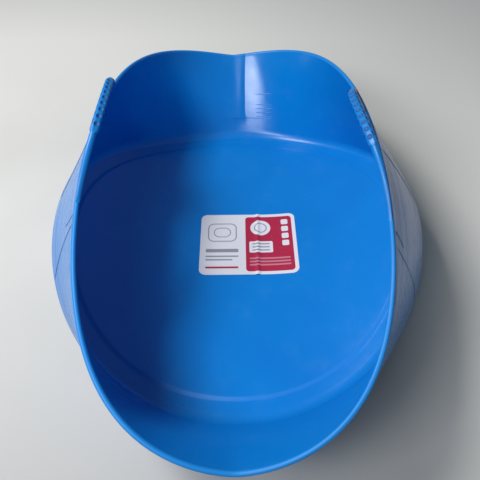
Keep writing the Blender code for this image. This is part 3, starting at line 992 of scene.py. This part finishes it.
# %% [markdown]
# ## How a handle flexes
# A handle is held by its two legs, which bend just above the rim. The imported model stands for
# this with a sprung hinge, and turning the whole arch about it would tear the legs off the rim.
# The real plastic has no slit, so its legs bend over a few millimetres on each side of the flex
# line, and the feet stay with the tub. Here only the start and the end of that bend are worked
# out and printed; the arch is baked where it stands and the imported handle is hidden.

# %% Where the legs would bend across the flex line
FLEX_BELOW = 0.006
FLEX_ABOVE = 0.009
LEG_MIDDLE = 0.002
LEG_RISES = (0.002, 0.02)


def flex_points(joint, place):
    """Start and end of the bend, below and above the joint's line."""
    middle = Vector(joint["pos_m"])
    line = Vector(joint["axis"])
    zero, outward = np.zeros(1), np.array([LEG_MIDDLE])
    low, high = (on_wall(place, zero, np.array([rise]), outward)[0] for rise in LEG_RISES)
    up = Vector(high - low)
    up = (up - line * up.dot(line)).normalized()
    return middle - up * FLEX_BELOW, middle + up * FLEX_ABOVE


joints = {joint["name"]: joint for joint in frame["joints"]}
for side, arch, place in (("left", left_arch, left_place), ("right", right_arch, right_place)):
    start, end = flex_points(joints[side + "_handle_flex"], place)
    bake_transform(arch)
    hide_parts(side + "_handle")
    print(side, "legs bend between", [round(v, 4) for v in start], "and", [round(v, 4) for v in end])

# %% [markdown]
# ## The label
# A printed film label lies on the floor of a new tub. It is stuck down while the floor is
# flat, so when the tub is squeezed the film bends with it and lifts into one soft wrinkle. A
# cloth simulation could find it, but one gentle ridge in a fine grid is the same on every run.
# The print is a plain pattern of blocks, rings and bars in grey, white and crimson, drawn by
# the material so that its edges stay crisp from close by.

# %% Sheet of the label
LABEL_SIZE = (0.132, 0.108)
LABEL_CENTRE = (0.0163, 0.0035)
LABEL_TURN = math.radians(1.2)
LABEL_CORNER = 0.009
LABEL_LIFT = 0.0006
LABEL_THICK = 0.00025
LABEL_COLUMNS, LABEL_ROWS = 132, 108
WRINKLE_PLACE = 0.0125
WRINKLE_LEAN = 0.02
WRINKLE_WIDTH = 0.0028
WRINKLE_HEIGHT = 0.0015


def half_width(y):
    """Half of the label's width at a height on it, shorter where the corners are round."""
    past = max(abs(y) - (LABEL_SIZE[1] / 2.0 - LABEL_CORNER), 0.0)
    return LABEL_SIZE[0] / 2.0 - LABEL_CORNER + math.sqrt(max(LABEL_CORNER ** 2 - past ** 2, 0.0))


def label_mesh():
    """The film laid flat, with round corners and its wrinkle."""
    bm = bmesh.new()
    bmesh.ops.create_grid(bm, x_segments=LABEL_COLUMNS, y_segments=LABEL_ROWS, size=0.5)
    for vertex in bm.verts:
        y = math.sin(vertex.co.y * math.pi) * LABEL_SIZE[1] / 2.0
        x = vertex.co.x * 2.0 * half_width(y)
        beside = x - WRINKLE_PLACE - WRINKLE_LEAN * y
        vertex.co = (x, y, WRINKLE_HEIGHT * math.exp(-(beside / WRINKLE_WIDTH) ** 2))
    bmesh.ops.solidify(bm, geom=bm.faces[:], thickness=LABEL_THICK)
    return bm


def on_floor(x, y, height):
    """Points of the label, turned and laid on the floor panel."""
    cosine, sine = math.cos(LABEL_TURN), math.sin(LABEL_TURN)
    across = LABEL_CENTRE[0] + cosine * x - sine * y
    along = LABEL_CENTRE[1] + sine * x + cosine * y
    return form(across, along, PANEL_RAISE + LABEL_LIFT + height)


print("size of the label laid flat", LABEL_SIZE)

# %% Shapes in the print
PRINT_EDGE = 0.00018


def rounded_block(tree, place, centre, size, corner):
    """Socket that is 1 inside a rounded rectangle and 0 outside. Sizes are in millimetres."""
    half = [max(length / 2.0 - corner, 0.0) / 1000.0 for length in size]
    offset = calculate_vector(tree, "SUBTRACT", place, (centre[0] / 1000.0, centre[1] / 1000.0, 0.0))
    offset = calculate_vector(tree, "ABSOLUTE", offset)
    offset = calculate_vector(tree, "SUBTRACT", offset, (half[0], half[1], 1.0))
    offset = calculate_vector(tree, "MAXIMUM", offset, (0.0, 0.0, 0.0))
    far = calculate_vector(tree, "LENGTH", offset, output=1)
    radius = corner / 1000.0
    return stretch(tree, far, radius + PRINT_EDGE, radius - PRINT_EDGE)


def outline_block(tree, place, centre, size, corner, line):
    """Socket that is 1 on a line along a rounded rectangle."""
    outer = rounded_block(tree, place, centre, size, corner)
    inner = rounded_block(tree, place, centre, (size[0] - 2 * line, size[1] - 2 * line), corner - line)
    return calculate(tree, "SUBTRACT", outer, inner)


def together(tree, masks):
    """Socket that is 1 where any of the masks is."""
    total = masks[0]
    for mask in masks[1:]:
        total = calculate(tree, "MAXIMUM", total, mask)
    return total


# %% Layout of the print, in millimetres from the label's middle
FILM_WHITE = (0.80, 0.79, 0.81, 1.0)
PRINT_GREY = (0.30, 0.30, 0.34, 1.0)
PRINT_CRIMSON = (0.46, 0.020, 0.062, 1.0)
PRINT_ROSE = (0.60, 0.22, 0.28, 1.0)

GREY_BARS = [((-36, -13), (44, 6), 1.5), ((-36, -23), (44, 2.4), 1.0), ((-40, -29), (36, 2.4), 1.0)]
GREY_RINGS = [((-36, 20), (40, 34), 9.0, 1.6), ((-36, 20), (24, 18), 8.9, 1.4)]
CRIMSON_BLOCKS = [((28.5, 0), (65, 98), 5.0), ((-36, -42), (44, 3.2), 1.5)]
ROSE_BARS = [((28.5, -27 - 5.5 * i), (55, 2.6), 1.2) for i in range(3)]
WHITE_SQUARES = [((51, 38 - 13 * i), (9.5, 9.5), 2.0) for i in range(4)]
WHITE_FIELDS = [((17, 28), (28, 28), 13.9), ((17, -7), (32, 20), 2.0)]
FIELD_RING = [((17, 28), (18, 18), 8.9, 1.6)]
FIELD_BARS = [((17, -1.5 - 5.5 * i), (24, 2.2), 1.0) for i in range(3)]
PRINT_LAYERS = [(PRINT_GREY, GREY_BARS, GREY_RINGS), (PRINT_CRIMSON, CRIMSON_BLOCKS, []),
                (PRINT_ROSE, ROSE_BARS, []), (FILM_WHITE, WHITE_SQUARES + WHITE_FIELDS, []),
                (PRINT_GREY, FIELD_BARS, FIELD_RING)]
print("shapes in the print", sum(len(blocks) + len(rings) for _, blocks, rings in PRINT_LAYERS))

# %% Print and film
WORN_NOISE = (260.0, 4.0, 0.7)
WORN_RANGE = (0.62, 0.80, 0.0, 0.35)
CRINKLE_NOISE = (55.0, 3.0, 0.6)
CRINKLE_HEIGHT = 0.0004
CRINKLE_STRENGTH = 0.6
CRINKLE_MATT_RANGE = (0.3, 0.7, 0.26, 0.40)


def label_print(name):
    """Glossy film with the print on it, worn in specks, and a soft crinkle."""
    material, tree, shader = new_material(name)
    flat = add_node(tree, "ShaderNodeAttribute", attribute_name="flat_place").outputs["Vector"]
    place = calculate_vector(tree, "MULTIPLY", flat, (1.0, 1.0, 0.0))
    colour = FILM_WHITE
    for ink, blocks, rings in PRINT_LAYERS:
        masks = [rounded_block(tree, place, *block) for block in blocks]
        masks += [outline_block(tree, place, *ring) for ring in rings]
        colour = mix_colours(tree, together(tree, masks), colour, ink)
    worn = stretch(tree, noise(tree, flat, *WORN_NOISE), *WORN_RANGE)
    tree.links.new(mix_colours(tree, worn, colour, FILM_WHITE), shader.inputs["Base Color"])

    crinkle = noise(tree, flat, *CRINKLE_NOISE)
    values = {"Height": crinkle, "Distance": CRINKLE_HEIGHT, "Strength": CRINKLE_STRENGTH}
    bump = add_node(tree, "ShaderNodeBump", values)
    tree.links.new(bump.outputs[0], shader.inputs["Normal"])
    tree.links.new(stretch(tree, crinkle, *CRINKLE_MATT_RANGE), shader.inputs["Roughness"])
    return material


label_sheet = finished_piece("label_sheet", label_mesh(), on_floor, label_print("label_film_finish"))
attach(label_sheet, "tub")
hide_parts("label")

# %% [markdown]
# ## Floor and light
# The tub stands on a plain pale floor. Painted shade makes it a little greyer at the front, and
# painted light makes it paler at the right and at the back. Daylight comes in from the left and
# high up, so the left wall keeps a third of the tub's floor in shade, and the blue light that
# bounces about inside fills that shade.
# Two smaller, cooler windows at the near left make the tall patch of gloss on the far wall,
# and a weak blue sky fills the rest. One strong lamp would be simpler, but its shadow would be
# hard, so three soft windows are used.

# %% Finish of the floor
FLOOR_COLOUR = (0.70, 0.69, 0.66, 1.0)
FLOOR_CLOUD_COLOUR = (0.658, 0.6486, 0.6204, 1.0)
# Painted shade darkens the floor towards the front, and painted light makes it paler at the back and
# the right.
FLOOR_PAINTED_SHADE_COLOUR = (0.51, 0.50, 0.48, 1.0)
FLOOR_PAINTED_LIGHT_COLOUR = (0.88, 0.87, 0.84, 1.0)
FLOOR_NOISE = (5.0, 4.0)
FLOOR_NEAR_RANGE = (-0.34, -0.02)
FLOOR_FAR_RANGE = (0.22, 0.58)
FLOOR_RIGHT_RANGE = (0.18, 0.42)
FLOOR_MATT = 0.75


def floor_finish():
    """A pale floor with faint clouds, with painted shade at the front and painted light at the back
    and right.
    """
    material, tree, shader = new_material("floor_finish")
    spot = add_node(tree, "ShaderNodeTexCoord").outputs["Object"]
    parts = add_node(tree, "ShaderNodeSeparateXYZ", {"Vector": spot})
    across, along = parts.outputs["X"], parts.outputs["Y"]
    cloud = stretch(tree, noise(tree, spot, *FLOOR_NOISE), *CLOUD_RANGE)
    colour = mix_colours(tree, cloud, FLOOR_CLOUD_COLOUR, FLOOR_COLOUR)
    # Painted shade towards the front, painted light towards the back and the right.
    colour = mix_colours(tree, stretch(tree, along, *FLOOR_NEAR_RANGE), FLOOR_PAINTED_SHADE_COLOUR, colour)
    colour = mix_colours(tree, stretch(tree, along, *FLOOR_FAR_RANGE), colour, FLOOR_PAINTED_LIGHT_COLOUR)
    colour = mix_colours(tree, stretch(tree, across, *FLOOR_RIGHT_RANGE), colour, FLOOR_PAINTED_LIGHT_COLOUR)
    tree.links.new(colour, shader.inputs["Base Color"])
    shader.inputs["Roughness"].default_value = FLOOR_MATT
    return material


# %% The floor
FLOOR_HALF = 6.0


def plain_floor(material):
    """A wide square floor at ground level."""
    bm = bmesh.new()
    bmesh.ops.create_grid(bm, x_segments=1, y_segments=1, size=FLOOR_HALF)
    mesh = bpy.data.meshes.new("floor")
    bm.to_mesh(mesh)
    bm.free()
    mesh.materials.append(material)
    floor = bpy.data.objects.new("floor", mesh)
    bpy.context.scene.collection.objects.link(floor)
    return floor


floor = plain_floor(floor_finish())
floor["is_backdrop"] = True
print("the floor is", 2.0 * FLOOR_HALF, "m wide")

# %% Windows
TUB_MIDDLE = (0.0, 0.0, 0.1)
FAR_WALL = (0.0, 0.33, 0.07)
WARM_LIGHT = (1.0, 0.985, 0.96)
COOL_LIGHT = (0.93, 0.96, 1.0)


def window(name, place, aim, size, power, colour):
    """A soft area light that faces the point aim."""
    light = bpy.data.lights.new(name, "AREA")
    light.shape = "RECTANGLE"
    light.size, light.size_y = size
    light.energy = power
    light.color = colour
    thing = bpy.data.objects.new(name, light)
    away = Vector(place) - Vector(aim)
    thing.matrix_world = Matrix.Translation(place) @ away.to_track_quat("Z", "Y").to_matrix().to_4x4()
    bpy.context.scene.collection.objects.link(thing)
    print(name, "shines with", power, "watts")


window("left_window", (-0.80, 0.13, 1.38), TUB_MIDDLE, (0.55, 0.42), 16.6, WARM_LIGHT)
window("near_window", (-0.608, -0.702, 0.973), FAR_WALL, (0.44, 0.30), 6.4, COOL_LIGHT)
window("front_window", (-0.290, -0.832, 0.973), FAR_WALL, (0.25, 0.30), 1.5, COOL_LIGHT)

# %% Surrounding light
SKY_COLOUR = (0.72, 0.87, 1.0, 1.0)
SKY_STRENGTH = 0.135

world = bpy.data.worlds.new("room")
bpy.context.scene.world = world
world.use_nodes = True
sky = world.node_tree.nodes["Background"]
sky.inputs["Color"].default_value = SKY_COLOUR
sky.inputs["Strength"].default_value = SKY_STRENGTH
bpy.context.scene.view_settings.view_transform = "Standard"
print("strength of the sky", SKY_STRENGTH)

# %% Sizes of both models
scene_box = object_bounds()
for name, box in (("packed model", cad_box), ("this scene", scene_box)):
    print(name, [[round(v, 4) for v in corner] for corner in box])
